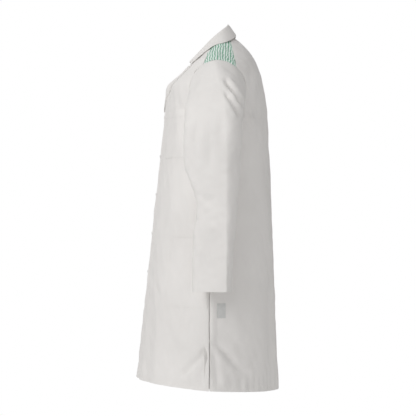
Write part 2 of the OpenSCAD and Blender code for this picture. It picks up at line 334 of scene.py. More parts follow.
def ramp(tree, factor, stops):
    node = addNode(tree, "ShaderNodeValToRGB", None, {"Fac": factor})
    elements = node.color_ramp.elements
    while len(elements) < len(stops):
        elements.new(0.5)
    for element, (place, colour) in zip(elements, stops):
        element.position = place
        element.color = linear(colour)
    return node.outputs["Color"]


def roughen(tree, shader, height, strength, distance, base=None):   # a bump, on top of another one
    links = {"Height": height} if base is None else {"Height": height, "Normal": base}
    node = addNode(tree, "ShaderNodeBump", {"Strength": strength, "Distance": distance}, links)
    tree.links.new(node.outputs["Normal"], shader.inputs["Normal"])
    return node.outputs["Normal"]


def blotches(tree, shader, place, scale, detail, stops):   # a soft change between two tones
    noise = addNode(tree, "ShaderNodeTexNoise", {"Scale": scale, "Detail": detail}, {"Vector": place})
    tree.links.new(ramp(tree, noise.outputs["Fac"], stops), shader.inputs["Base Color"])
    return noise.outputs["Fac"]


weave = {"pitch": 0.0016, "depth": 0.00022, "crease": 0.0011, "creaseScale": 26.0}
# real twill lines lie 0.5 mm apart; they are drawn three times as coarse so that they show


def wovenCloth(name, colour, shade, roughness=0.88, depth=1.0):
    # poly-cotton twill: matt, with fine diagonal lines whose grooves carry painted shade, and a soft bloom
    # at grazing angles
    material, tree, shader = newMaterial(name, {
        "Roughness": roughness, "Specular IOR Level": 0.25, "Sheen Weight": 0.12, "Sheen Roughness": 0.5})
    place = addNode(tree, "ShaderNodeUVMap", {"uv_map": "cloth"}).outputs["UV"]
    body = addNode(tree, "ShaderNodeTexCoord").outputs["Object"]
    twill = addNode(tree, "ShaderNodeTexWave",
                    {"bands_direction": "DIAGONAL", "Scale": 0.6283 / (weave["pitch"] * 1.414),
                     "Distortion": 0.6, "Detail": 1.0, "Detail Scale": 2.0}, {"Vector": place})
    slub = addNode(tree, "ShaderNodeTexNoise", {"Scale": 900.0, "Detail": 2.0}, {"Vector": place})
    crush = addNode(tree, "ShaderNodeTexNoise",
                    {"Scale": weave["creaseScale"], "Detail": 4.0, "Roughness": 0.45, "Distortion": 0.8},
                    {"Vector": body})
    patches = addNode(tree, "ShaderNodeTexNoise", {"Scale": 7.0, "Detail": 3.0}, {"Vector": body})
    wash = ramp(tree, patches.outputs["Fac"], [(0.35, shade), (0.65, colour)])
    # painted shade: where the twill wave is low, in the grooves that the bump sinks, the colour is darker
    lines = ramp(tree, twill.outputs["Fac"], [(0.0, "#F2F2F2"), (1.0, "#FFFFFF")])
    toneWithGrooveShade = addNode(tree, "ShaderNodeMix", {"data_type": "RGBA", "blend_type": "MULTIPLY", 0: 1.0},
                   {6: wash, 7: lines})
    tree.links.new(toneWithGrooveShade.outputs[2], shader.inputs["Base Color"])
    threads = addNode(tree, "ShaderNodeMath", {"operation": "ADD"},
                      {0: twill.outputs["Fac"], 1: slub.outputs["Fac"]})
    creased = roughen(tree, shader, crush.outputs["Fac"], 0.55 * depth, weave["crease"])
    roughen(tree, shader, threads.outputs["Value"], 0.5, weave["depth"], creased)
    return material


def patternedKnit(name):
    # stretch jersey printed with wandering dark green lines about 8 mm apart and short links
    material, tree, shader = newMaterial(name, {
        "Roughness": 0.92, "Specular IOR Level": 0.2, "Sheen Weight": 0.2, "Sheen Roughness": 0.6})
    place = addNode(tree, "ShaderNodeUVMap", {"uv_map": "cloth"}).outputs["UV"]
    wander = addNode(tree, "ShaderNodeTexNoise", {"Scale": 55.0, "Detail": 2.0}, {"Vector": place})
    offset = addNode(tree, "ShaderNodeVectorMath", {"operation": "MULTIPLY_ADD", 1: (0.010, 0.004, 0.0)},
                     {0: wander.outputs["Color"], 2: place})
    lines = addNode(tree, "ShaderNodeTexWave",
                    {"bands_direction": "X", "Scale": 0.31416 / 0.008, "Distortion": 1.6, "Detail": 1.0,
                     "Detail Scale": 0.6}, {"Vector": offset.outputs["Vector"]})
    links = addNode(tree, "ShaderNodeTexVoronoi", {"Scale": 150.0, "feature": "DISTANCE_TO_EDGE"},
                    {"Vector": offset.outputs["Vector"]})
    cells = ramp(tree, links.outputs["Distance"], [(0.03, "#FFFFFF"), (0.12, "#000000")])
    both = addNode(tree, "ShaderNodeMix", {"data_type": "RGBA", "blend_type": "ADD", 0: 0.35},
                   {6: lines.outputs["Color"], 7: cells})
    colour = ramp(tree, both.outputs[2],
                  [(0.12, "#F4F9F6"), (0.50, "#DCEBE3"), (0.76, "#B0D4C2"), (0.98, "#73AE92")])
    tree.links.new(colour, shader.inputs["Base Color"])
    knit = addNode(tree, "ShaderNodeTexWave",
                   {"bands_direction": "X", "Scale": 0.31416 / 0.0014, "Distortion": 2.0, "Detail": 1.0},
                   {"Vector": place})
    roughen(tree, shader, knit.outputs["Fac"], 0.5, 0.0003)
    return material


def wovenTape(name, colour, dark, roughness=0.8):
    # narrow woven tape: ribs across its length, drawn 1.2 mm apart
    material, tree, shader = newMaterial(name, {"Roughness": roughness, "Sheen Weight": 0.15})
    place = addNode(tree, "ShaderNodeTexCoord").outputs["Object"]
    ribs = addNode(tree, "ShaderNodeTexWave",
                   {"bands_direction": "Z", "Scale": 0.31416 / 0.0012, "Distortion": 0.4},
                   {"Vector": place})
    blotches(tree, shader, place, 60.0, 3.0, [(0.3, dark), (0.7, colour)])
    roughen(tree, shader, ribs.outputs["Fac"], 0.6, 0.0002)
    return material


def sewingThread(name, colour):
    # spun polyester thread: slightly silky, twisted, with painted shade in the grooves of the twist
    material, tree, shader = newMaterial(name, {"Roughness": 0.55, "Sheen Weight": 0.3})
    place = addNode(tree, "ShaderNodeTexCoord").outputs["Object"]
    twist = addNode(tree, "ShaderNodeTexWave",
                    {"bands_direction": "DIAGONAL", "Scale": 0.6283 / 0.0006, "Distortion": 0.5},
                    {"Vector": place})
    # painted shade: the low grooves of the twist, which the bump sinks, are coloured darker
    toneWithGrooveShade = ramp(tree, twist.outputs["Fac"], [(0.0, "#D9D6D0"), (1.0, colour)])
    tree.links.new(toneWithGrooveShade, shader.inputs["Base Color"])
    roughen(tree, shader, twist.outputs["Fac"], 0.6, 0.0001)
    return material


def hardFinish(name, shaderValues, colour, dark, grit, bumpDepth):
    # enamelled or plated brass: smooth, with faint handling marks
    material, tree, shader = newMaterial(name, shaderValues)
    place = addNode(tree, "ShaderNodeTexCoord").outputs["Object"]
    marks = blotches(tree, shader, place, grit, 4.0, [(0.3, dark), (0.7, colour)])
    roughen(tree, shader, marks, 0.3, bumpDepth)
    return material


twill = wovenCloth("polyCottonTwill", "#F4F1EE", "#EFECE9")
# painted shade: the inner pieces (facings, under collar, cuff hems) get the same twill as a darker copy
twillInsideShaded = wovenCloth("polyCottonTwillInsideShaded", "#E9E6E2", "#E3E0DC", 0.92, 0.6)
knit = patternedKnit("printedJersey")
whiteTape = wovenTape("wovenTapeWhite", "#EFEEEC", "#E4E2DF")
greyTape = wovenTape("wovenTapeGrey", "#DEDEDC", "#D0D0CE")
thread = sewingThread("polyesterThread", "#F3F1EC")
enamel = hardFinish("whiteEnamel",
                    {"Roughness": 0.25, "IOR": 1.5, "Coat Weight": 0.4, "Coat Roughness": 0.1},
                    "#F3F2EF", "#E9E7E3", 300.0, 0.00003)
nickel = hardFinish("nickelPlatedBrass", {"Metallic": 1.0, "Roughness": 0.3},
                    "#C9C7C3", "#B3B1AD", 500.0, 0.00003)
print("materials made")


def foldAlong(y, z, path, width, depth, lean=0.0):
    # a valley along a path over the coat's side, with a raised edge on each side of it;
    # lean makes the edge on the left of the path higher
    path = np.array(path)
    steps = np.linalg.norm(np.diff(path, axis=0), axis=1)
    nearest = np.full(y.shape, 9.0)
    signed = np.zeros(y.shape)
    along = np.zeros(y.shape)
    for k, length in enumerate(steps):
        dy, dz = (path[k + 1] - path[k]) / length
        t = np.clip((y - path[k, 0]) * dy + (z - path[k, 1]) * dz, 0, length)
        offY, offZ = y - path[k, 0] - t * dy, z - path[k, 1] - t * dz
        distance = np.hypot(offY, offZ)
        closer = distance < nearest
        nearest = np.where(closer, distance, nearest)
        signed = np.where(closer, distance * np.sign(dy * offZ - dz * offY), signed)
        along = np.where(closer, (steps[:k].sum() + t) / steps.sum(), along)
    t = signed / width
    shape = -np.exp(-t * t)
    for edge in (1, -1):
        shape = shape + 0.36 * (1 + edge * lean) * np.exp(-(t - edge * 1.8) ** 2 / 1.6)
    return depth * shape * ease(along / 0.2) * ease((1 - along) / 0.25)


def folded(folds, y, z):
    return sum(foldAlong(y, z, *fold) for fold in folds)


def ripples(grid, size, seed, count=16):
    rng = np.random.default_rng(seed)
    total = 0
    for _ in range(count):
        way = rng.normal(size=3)
        way *= 2 * math.pi / size * rng.uniform(0.7, 1.35) / np.linalg.norm(way)
        total = total + np.sin(grid @ way + rng.uniform(0, 2 * math.pi))
    return total / math.sqrt(count)


sideFolds = [   # on the body's side: path of (y, z), width, depth, lean
    ([(-0.020, -0.900), (-0.029, -0.925), (-0.038, -0.943), (-0.096, -1.006)], 0.009, 0.0050, 0.4),
    ([(-0.016, -0.906), (-0.030, -0.965), (-0.038, -1.045)], 0.009, 0.0026, 0.2),
    ([(-0.008, -0.902), (0.008, -0.965), (0.016, -1.045)], 0.009, 0.0030, -0.2),
    ([(-0.002, -0.894), (0.013, -0.908), (0.045, -0.943), (0.100, -1.002)], 0.010, 0.0056, -0.4),
    ([(0.058, -0.200), (0.086, -0.240), (0.118, -0.300)], 0.009, 0.0045, 0.4),
    ([(0.110, -0.098), (0.108, -0.150), (0.100, -0.232)], 0.009, 0.0040, 0.2),
    ([(0.136, -0.120), (0.138, -0.190), (0.130, -0.270)], 0.014, 0.0022, 0.0),
    ([(-0.181, -0.690), (-0.165, -0.750), (-0.155, -0.800), (-0.152, -1.000)], 0.007, 0.0012, -0.4),
    ([(-0.050, -0.245), (-0.085, -0.230), (-0.110, -0.200)], 0.010, 0.0018, 0.2),
]


reliefSizes = {
    "flutes": 0.0016,        # soft waves that grow towards the hem
    "pucker": 0.0015,        # little folds along the back's hem
    "slitEdge": 0.0032,      # the back's edge stands up along the side opening
    "dents": 0.0011,
    "crumple": 0.0006,
}


def bodyRelief(seed):
    def relief(grid):
        x, y, z = np.moveaxis(grid, -1, 0)
        drop = -z
        total = folded(sideFolds, y, z) * ease((np.abs(x) - 0.03) / 0.05)
        around = np.arctan2(y + 0.022, np.abs(x) + 0.02)
        flutes = np.sin(11 * around + 0.9) + 0.6 * np.sin(17 * around + np.sign(x) * 0.8)
        total = total + reliefSizes["flutes"] * flutes * ease((drop - 0.55) / 0.5)
        back = ease((y - 0.04) / 0.05)
        pucker = np.sin(62 * around + 2 * np.sin(9 * around))
        total = total + reliefSizes["pucker"] * back * pucker * ease((drop - 0.985) / 0.05)
        standing = np.exp(-((y - seamY(z) - 0.011) / 0.0055) ** 2) * (y > seamY(z))
        opened = ease((drop - coat["slitDrop"]) / 0.03) * ease((coat["ventDrop"] - drop) / 0.02)
        total = total + reliefSizes["slitEdge"] * standing * opened
        dents = ripples(grid * [1, 1, 0.35], 0.075, seed) * ease((drop - 0.1) / 0.1)
        crumple = ripples(grid * [1, 1, 0.6], 0.032, seed + 1)
        return total + reliefSizes["dents"] * dents + reliefSizes["crumple"] * crumple
    return relief


def columnCount(width):
    return int(width / gridStep) + 1


# rows closer together round the armhole
turnRows = coat["armholeR"] * np.sin(np.radians(np.arange(-84, 60, 6))) - coat["armholeDrop"]
lowRows = np.linspace(-coat["hemDrop"], underarmZ, 132)


def lapped(grid, edge, lap, sink):
    # lowers the last stretch before an edge, so that it lies under the next piece
    run = np.linalg.norm(np.diff(grid, axis=1), axis=2)
    start = np.concatenate([np.zeros((len(grid), 1)), np.cumsum(run, axis=1)], 1)
    distance = start if edge == "start" else start[:, -1:] - start
    return grid - normals(grid) * (sink * (1 - ease((distance - lap) / 0.004)))[..., None]


def makeBack():
    rows = np.concatenate([lowRows, turnRows[turnRows < insetBackZ - 0.002],
                           np.linspace(insetBackZ, -coat["neckDrop"], 18), np.linspace(-0.017, -0.003, 5)])
    closed = ease((rows + coat["slitDrop"]) / 0.012)
    edge = np.where(rows > -coat["neckDrop"], 0, seamY(rows) + mix(coat["slitGap"] / 2, -0.006, closed))
    edge = np.where(rows > underarmZ, coat["armholeY"] + armholeHalf(rows), edge)
    up = (rows - insetBackZ) / (-coat["neckDrop"] - insetBackZ)
    shoulder = mix(inset["backY"], inset["neckBackY"], up)
    edge = np.where(rows > insetBackZ, shoulder, edge)
    angle = yAngle(edge, rows)
    neck = np.radians(mix(30, 60, (rows + coat["neckDrop"]) / 0.017))
    angle = np.where(rows > -coat["neckDrop"], neck, angle)
    t = np.linspace(0, 1, 400)[None]
    grid = bodyPoint(mix(angle[:, None], math.pi - angle[:, None], t), rows[:, None])
    grid = evenColumns(grid, columnCount(0.66))
    under = (closed * (rows < underarmZ))[:, None, None]
    flat = grid
    for edgeName in ("start", "end"):
        flat = lapped(flat, edgeName, 0.008, 0.0013)
    grid = grid + (flat - grid) * under
    return surface(grid, rows, relief=bodyRelief(11))


def makeFront(side):
    rows = np.concatenate([lowRows, turnRows[turnRows < insetFrontZ - 0.002],
                           np.linspace(insetFrontZ, -0.027, 16)])
    closed = ease((rows + coat["slitDrop"]) / 0.012)
    inner = rollX(rows) - coat["overlap"] * ease((-rows - coat["breakDrop"] + 0.008) / 0.016)
    outer = seamY(rows) - (1 - closed) * coat["slitGap"] / 2
    outer = np.where(rows > underarmZ, coat["armholeY"] - armholeHalf(rows), outer)
    shoulder = mix(inset["frontY"], inset["neckFrontY"], (rows - insetFrontZ) / (-0.025 - insetFrontZ))
    outer = np.where(rows > insetFrontZ, shoulder, outer)
    t = np.linspace(0, 1, 300)[None]
    first = frontAngle(inner, rows)[:, None]
    last = yAngle(outer, rows)[:, None]
    grid = evenColumns(bodyPoint(mix(first, last, t), rows[:, None]), columnCount(0.33))
    if side > 0:
        lift = ease((0.060 - grid[..., 0]) / 0.035) * ease((-grid[..., 2] - 0.110) / 0.05)
        grid = grid + normals(grid) * (coat["leftLift"] * lift)[..., None]
    return surface(grid, rows, relief=bodyRelief(21 if side > 0 else 41))


def frontBlend(piece):
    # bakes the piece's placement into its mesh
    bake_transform(piece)


def sleeveBlend(piece):
    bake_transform(piece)


seams = {"front_left": [], "front_right": [], "sleeve_left": [], "sleeve_right": [], "body": []}
threadOff = coat["cloth"] + 0.00005


def addSeam(group, cloth, edge, distance, off=threadOff, first=0.0, last=1.0):
    seams[group].append(insideEdge(cloth, edge, distance, off, first, last))


def addToBody(name, cloth, node, material, under, over):
    piece = makeCloth(name, cloth, material, under, over)
    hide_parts(node)
    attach(piece, "root")
    declare(cloth)


def finishFront(name, cloth, side, node, material, under, over):
    shown = cloth if side > 0 else mirrored(cloth)
    piece = makeCloth(name, shown, material, under, over)
    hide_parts(*node)
    frontBlend(piece)
    declare(shown)
    return shown


back = makeBack()
addToBody("back_cloth", back, "back_panel", twill, 0, coat["cloth"])
addSeam("body", back, "foot", coat["hemTurn"])
openPart = shareAt(back, -coat["slitDrop"] - 0.01)
sidePart = shareAt(back, underarmZ)
for edgeName in ("start", "end"):
    addSeam("body", back, edgeName, 0.011, last=openPart)
    addSeam("body", back, edgeName, 0.0105, first=openPart + 0.01, last=sidePart)

lining = {"off": -0.0003, "under": -0.0008, "frontWidth": 0.068, "sideWidth": 0.025, "underlap": 0.016}
lapelSizes = {"width": 0.062, "notchDrop": 0.097, "rise": 0.0008, "roll": 0.0022, "cloth": 0.0011}
pocketSizes = {
    "hem": 0.025, "edge": 0.0025, "bulge": 0.0022, "cloth": 0.0007,
    "lowFoot": -0.802, "lowMouth": -0.602, "lowFront": 0.178,
    "chestFoot": -0.370, "chestMouth": -0.229, "chestOuter": 0.204, "chestInner": 0.079,
}
stitchRow = {"edge": 0.006, "side": 0.0025, "lapel": 0.005}   # distances from the cloth's edges


def gridRows(low, high, count):
    return np.linspace(low, high, count)[:, None]


def addPocket(cloth, side, name, node, left, right, leftAxis, rightAxis, lowZ, highZ):
    rows = gridRows(rowAt(cloth, lowZ), rowAt(cloth, highZ), columnCount(highZ - lowZ) + 8)
    z = zAt(cloth, rows)
    first = columnAt(cloth, rows, left(z), leftAxis)
    last = columnAt(cloth, rows, right(z), rightAxis)
    u = np.linspace(0, 1, 26)[None]
    v = (z - lowZ) / (highZ - lowZ)
    bulge = pocketSizes["bulge"] * np.sin(math.pi * u) ** 0.7 * v ** 0.8
    pocket = layer(cloth, rows, mix(first, last, u), coat["cloth"] + 0.0002 + bulge)
    shown = finishFront(name, pocket, side, [node], twill, 0, pocketSizes["cloth"])
    group = "front_left" if side > 0 else "front_right"
    for edgeName in ("start", "end", "foot"):
        addSeam(group, shown, edgeName, pocketSizes["edge"])
    addSeam(group, shown, "top", pocketSizes["hem"])


for side, word in sides:
    group = "front_" + word
    front = makeFront(side)
    nodes = ["front_panel_" + word, "front_edge_" + word]
    shown = finishFront("front_cloth_" + word, front, side, nodes, twill, 0, coat["cloth"])
    frontEdge, sideEdge = ("start", "end") if side > 0 else ("end", "start")
    addSeam(group, shown, "foot", coat["hemTurn"])
    addSeam(group, shown, frontEdge, stitchRow["edge"], last=shareAt(front, -coat["breakDrop"]))
    addSeam(group, shown, sideEdge, stitchRow["side"], last=shareAt(front, underarmZ))
    addSeam(group, shown, sideEdge, stitchRow["side"], first=shareAt(front, underarmZ + 0.004))

    # facing inside the front edge
    rows = gridRows(1, rowAt(front, -coat["breakDrop"] - 0.004), 132)
    z = zAt(front, rows)
    last = columnAt(front, rows, lining["frontWidth"] - coat["overlap"] + 0 * z, 0)
    facing = layer(front, rows, mix(0.05, last, np.linspace(0, 1, 14)[None]), lining["off"])
    shown = finishFront("front_facing_cloth_" + word, facing, side, ["front_facing_" + word], twillInsideShaded,
                        lining["under"], 0)

    # lapel: the neckline turned back and rolled at its edge
    rows = gridRows(rowAt(front, -coat["breakDrop"] + 0.002), rowAt(front, -lapelSizes["notchDrop"]), 40)
    z = zAt(front, rows)
    up = (coat["breakDrop"] + z) / (coat["breakDrop"] - lapelSizes["notchDrop"])
    width = lapelSizes["width"] * up ** 0.7 + 0.001
    u = np.linspace(0, 1, 16)[None] ** 1.3
    cols = mix(0, columnAt(front, rows, rollX(z) + width, 0), u)
    rise = coat["cloth"] / 2 + lapelSizes["rise"] * np.sqrt(np.clip(u * width / 0.006, 0, 1))
    roll = lapelSizes["roll"] * np.exp(-((u * width - 0.006) / 0.007) ** 2)
    lapel = layer(front, rows, cols, rise + roll * ease(u * width / 0.004))
    shown = finishFront("lapel_cloth_" + word, lapel, side, ["lapel_" + word], twill, 0,
                        lapelSizes["cloth"])
    for edgeName in (sideEdge, "top"):
        addSeam(group, shown, edgeName, stitchRow["lapel"], lapelSizes["cloth"] + 0.0002)

    addPocket(front, side, "lower_pocket_cloth_" + word, "lower_pocket_" + word,
              lambda z: pocketSizes["lowFront"] + 0 * z, lambda z: coat["sideY"] - 0.005 + 0 * z, 0, 1,
              pocketSizes["lowFoot"], pocketSizes["lowMouth"])
    if side > 0:
        addPocket(front, side, "chest_pocket_cloth", "chest_pocket",
                  lambda z: pocketSizes["chestInner"] + 0.1 * (-z - coat["breakDrop"]),
                  lambda z: pocketSizes["chestOuter"] + 0 * z, 0, 0,
                  pocketSizes["chestFoot"], pocketSizes["chestMouth"])
print("fronts made")


# inner strips of the back: facings of the side openings, and of the neck

def backStrip(cloth, rows, distance, fromStart):   # it reaches under the front's edge
    grid = cloth["grid"]
    step = np.linalg.norm(np.diff(grid, axis=1), axis=2).mean(1)
    cols = distance / np.interp(rows, np.arange(len(step)), step)
    off = lining["off"] - 0.0026 * ease((0.003 - distance) / 0.006)
    if not fromStart:
        cols, off = grid.shape[1] - 1 - cols[:, ::-1], off[:, ::-1]
    return layer(cloth, rows, cols, off)


for side, word in sides:
    for name, low, high in (("slit_facing", -coat["ventDrop"] + 0.003, -coat["slitDrop"] + 0.006),
                            ("vent_facing", -coat["hemDrop"] + 0.006, -coat["ventDrop"] - 0.003)):
        rows = gridRows(rowAt(back, low), rowAt(back, high), 34)
        distance = np.linspace(-lining["underlap"], lining["sideWidth"], 15)[None] + 0 * rows
        strip = backStrip(back, rows, distance, side > 0)
        addToBody(name + "_cloth_" + word, strip, name + "_" + word, twillInsideShaded, lining["under"], 0)

rows = gridRows(rowAt(back, -0.075), len(back["rowZ"]) - 1.2, 24)
middle = (back["grid"].shape[1] - 1) / 2
spread = mix(0.30, 0.42, (rows - rows[0]) / (rows[-1] - rows[0])) * back["grid"].shape[1]
neckFacing = layer(back, rows, middle + spread * np.linspace(-1, 1, 60)[None], lining["off"])
addToBody("back_neck_facing_cloth", neckFacing, "back_neck_facing", twillInsideShaded, lining["under"], 0)

labels = {
    "neckFoot": -0.046, "neckTop": -0.024, "neckHalf": 5.7143,   # half of its width in the back's columns
    "sideFoot": -0.830, "sideTop": -0.788, "sideFront": 0.0105, "sideBack": 0.0345,
}
rows = gridRows(rowAt(back, labels["neckFoot"]), rowAt(back, labels["neckTop"]), 12)
cols = middle + np.linspace(-labels["neckHalf"], labels["neckHalf"], 14)[None]
addToBody("neck_label_tape", layer(back, rows, cols, -0.0016), "neck_label", whiteTape, -0.0005, 0)

rows = gridRows(rowAt(back, labels["sideFoot"]), rowAt(back, labels["sideTop"]), 12)
fore, rear = (columnAt(back, rows, labels[edge] + 0 * rows, 1) for edge in ("sideFront", "sideBack"))
cols = mix(fore, rear, np.linspace(0, 1, 9)[None])
addToBody("side_label_tape", layer(back, rows, cols, coat["cloth"] + 0.0003), "side_label", greyTape,
          0, 0.0006)


# shoulder insets, whose edges lie under the front and the back

def makeInset():
    u = np.linspace(-0.03, 1.03, 26)[None]
    v = np.linspace(0, 1, 30)[:, None]
    lowY = mix(inset["frontY"], inset["backY"], u)
    lowZ = -coat["armholeDrop"] + np.sqrt(coat["armholeR"] ** 2 - (lowY - coat["armholeY"]) ** 2)
    y = mix(lowY, mix(inset["neckFrontY"], inset["neckBackY"], u), v)
    z = mix(lowZ, mix(-0.027, -coat["neckDrop"], u), v)
    grid = bodyPoint(yAngle(y, z), z)
    sink = 0.0011 * (1 - ease(np.minimum(u - u.min(), u.max() - u) / 0.06))
    grid = grid - normals(grid) * (sink + 0 * v)[..., None]
    return surface(grid, relief=lambda g: 0.0010 * ripples(g, 0.045, 5))


insetCloth = makeInset()
for side, word in sides:
    shown = insetCloth if side > 0 else mirrored(insetCloth)
    addToBody("shoulder_inset_" + word, shown, "shoulder_panel_" + word, knit, -0.0004, 0.0004)
print("back and shoulders made")


sleeve = {
    "topZ": -0.300, "cuffZ": -0.751, "outer": (0.352, 0.350), "gap": (0.005, 0.018),
    "ridgeY": 0.036,          # outer crease of the sleeve
    "elbowFront": -0.047, "cuffFront": -0.057, "cuffBack": 0.050, "topFront": -0.083, "topBack": 0.080,
    "cuffBand": 0.024,
}
sleeveFolds = [   # path of (y, z), width, depth, lean
    ([(-0.046, -0.255), (-0.050, -0.330), (-0.044, -0.410)], 0.010, 0.0034, -0.3),
    ([(-0.010, -0.245), (-0.012, -0.330), (-0.006, -0.420)], 0.010, 0.0030, 0.3),
    ([(-0.083, -0.410), (-0.064, -0.462), (-0.047, -0.513), (-0.036, -0.524)], 0.008, 0.0060, 0.5),
    ([(-0.070, -0.455), (-0.030, -0.490), (0.010, -0.500)], 0.012, 0.0024, 0.4),
    ([(-0.060, -0.560), (-0.025, -0.545), (0.020, -0.560)], 0.012, 0.0020, -0.3),
    ([(0.028, -0.146), (0.060, -0.190), (0.090, -0.240)], 0.006, 0.0090, 0.2),
    ([(0.030, -0.190), (0.056, -0.226), (0.080, -0.264)], 0.006, 0.0080, 0.2),
    ([(0.044, -0.150), (0.068, -0.156), (0.094, -0.168)], 0.005, 0.0040, 0.2),
    ([(0.080, -0.330), (0.060, -0.420), (0.062, -0.520)], 0.012, 0.0026, 0.3),
    ([(-0.037, -0.178), (-0.012, -0.172), (0.012, -0.180)], 0.006, 0.0012, 0.2),
    ([(-0.020, -0.600), (-0.026, -0.680), (-0.022, -0.760)], 0.013, 0.0016, 0.2),
]


def armRing(angle, z):
    t = (z - sleeve["topZ"]) / (sleeve["cuffZ"] - sleeve["topZ"])
    outer = mix(*sleeve["outer"], t)
    inner = halfWidth(-z) + mix(*sleeve["gap"], t)
    front = mix(sleeve["topFront"], sleeve["elbowFront"], ease((-z - 0.385) / 0.150))
    front = front + (sleeve["cuffFront"] - sleeve["elbowFront"]) * ease((-z - 0.520) / 0.080)
    backSide = mix(sleeve["topBack"], sleeve["cuffBack"], ease(t))
    ry = np.where(np.sin(angle) < 0, sleeve["ridgeY"] - front, backSide - sleeve["ridgeY"])
    x = (inner + outer) / 2 + (outer - inner) / 2 * power(np.cos(angle), 0.8)
    y = sleeve["ridgeY"] + ry * power(np.sin(angle), 1.45)
    return np.stack(np.broadcast_arrays(x, y, z + 0 * angle), -1)


def armholePoint(angle):
    radius = coat["armholeR"] - 0.0006
    y = coat["armholeY"] + radius * np.sin(angle)
    z = -coat["armholeDrop"] + radius * np.cos(angle)
    return np.stack([bodyPoint(yAngle(y, z), z)[..., 0], y, z], -1)


def makeSleeve(seed):
    angle = np.linspace(0, 2 * math.pi, 96, endpoint=False)
    z = np.linspace(sleeve["cuffZ"], sleeve["topZ"], 76)[:, None]
    arm = armRing(angle[None], z)
    low, high = arm[-1], armholePoint(angle)
    reach = (low[:, 0] - high[:, 0]) * 0.55
    fall = (high[:, 2] - low[:, 2]) * 0.42
    t = np.linspace(0, 1, 34)[1:, None, None]
    high2 = high + np.stack([reach, 0 * reach, -0.6 * reach], -1)
    low2 = low + np.stack([0 * fall, 0 * fall, fall], -1)
    bend = (1 - t) ** 3 * low + 3 * (1 - t) ** 2 * t * low2 + 3 * (1 - t) * t * t * high2 + t ** 3 * high
    tuck = high + [[-0.004, 0, 0]]
    grid = np.concatenate([arm, bend, tuck[None]])

    def relief(g):
        x, y, z = np.moveaxis(g, -1, 0)
        total = folded(sleeveFolds, y, z) * ease((x - 0.24) / 0.04)
        rough = 0.0013 * ripples(g * [1, 1, 0.5], 0.060, seed) + 0.0006 * ripples(g, 0.030, seed + 1)
        total = total + rough * ease((z - sleeve["cuffZ"]) / 0.05 + 0.25)
        band = -z - (-sleeve["cuffZ"] - sleeve["cuffBand"])
        total = total + 0.0006 * ease(band / 0.003)
        fade = np.ones(g.shape[:2])
        fade[-9:] = np.linspace(1, 0, 9)[:, None] ** 1.5
        return total * fade
    return surface(grid, np.linspace(0, 1, len(grid)), ring=True, relief=relief)


for side, word in sides:
    arm = makeSleeve(61 if side > 0 else 81)
    shown = arm if side > 0 else mirrored(arm)
    piece = makeCloth("sleeve_cloth_" + word, shown, twill, 0, coat["cloth"])
    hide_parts("sleeve_" + word)
    sleeveBlend(piece)
    declare(shown)
    addSeam("sleeve_" + word, shown, "foot", sleeve["cuffBand"])
    addSeam("sleeve_" + word, shown, "top", 0.010)
    hemGrid = shown["grid"][:5] + shown["normal"][:5] * lining["off"]
    hem = {"grid": hemGrid, "normal": shown["normal"][:5], "rowZ": None, "ring": True}
    piece = makeCloth("cuff_hem_cloth_" + word, hem, twillInsideShaded, lining["under"], 0)
    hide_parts("cuff_hem_" + word)
    sleeveBlend(piece)
    declare(hem)
print("sleeves made")


# the collar follows three lines from the centre of the back to the notch: seam, fold and free edge

def frontSkin(x, z, off):
    return bodySkin(math.degrees(frontAngle(x, z)), z, off)


seamPoints = [bodySkin(90, -0.003, 0.003), bodySkin(52, -0.007, 0.003), bodySkin(24, -0.022, 0.003),
              frontSkin(0.086, -0.032, 0.003), frontSkin(0.080, -0.056, 0.003),
              frontSkin(0.060, -0.090, 0.003)]
foldPoints = [(0, 0.044, 0.034), (0.038, 0.037, 0.030), (0.060, 0.016, 0.015), (0.068, -0.009, -0.010),
              (0.066, -0.039, -0.044), (0.066, -0.072, -0.080)]
edgePoints = [(0, 0.068, 0.003), bodySkin(56, -0.014, 0.006), bodySkin(22, -0.030, 0.004),
              bodySkin(-30, -0.043, 0.003), frontSkin(0.112, -0.076, 0.003),
              frontSkin(0.098, -0.093, 0.003)]


def smoothLine(points, s):   # passes through each point, mirrored about the middle of the back
    half = np.array(points, float)
    line = np.concatenate([half[:0:-1] * [-1, 1, 1], half])
    line = np.concatenate([[2 * line[0] - line[1]], line, [2 * line[-1] - line[-2]]])
    f = (s + 1) / 2 * (len(line) - 3)
    i = np.clip(np.floor(f).astype(int), 0, len(line) - 4)
    t = (f - i)[..., None]
    p0, p1, p2, p3 = line[i], line[i + 1], line[i + 2], line[i + 3]
    return 0.5 * (2 * p1 + (p2 - p0) * t + (2 * p0 - 5 * p1 + 4 * p2 - p3) * t ** 2
                  + (3 * p1 - p0 - 3 * p2 + p3) * t ** 3)


def makeCollar():
    s = np.linspace(-1, 1, 110)
    seam, fold, edge = (smoothLine(p, s)[:, None] for p in (seamPoints, foldPoints, edgePoints))
    t = np.linspace(0, 1, 30)[None, :, None]
    pull = mix(1, 0.2, np.abs(s) ** 0.6)[:, None, None]
    crest = (1 + pull) * fold - pull * (seam + edge) / 2
    grid = (1 - t) ** 2 * seam + 2 * t * (1 - t) * crest + t * t * edge
    return surface(grid, relief=lambda g: 0.0004 * ripples(g, 0.05, 3))


collar = makeCollar()
for name, node, material, slotName, under, over in (
        ("under_collar_cloth", "under_collar", twillInsideShaded, "facing_cloth", 0.0001, 0.0010),
        ("upper_collar_cloth", "upper_collar", twill, "coat_cloth", -0.0011, -0.0001)):
    addToBody(name, collar, node, material, under, over)
for edgeName in ("end", "foot", "top"):
    addSeam("body", collar, edgeName, stitchRow["lapel"], -0.00115)
print("collar made")


studs = {"count": 5, "pitch": 0.115, "capR": 0.006, "capHeight": 0.0016, "first": coat["breakDrop"] + 0.014}


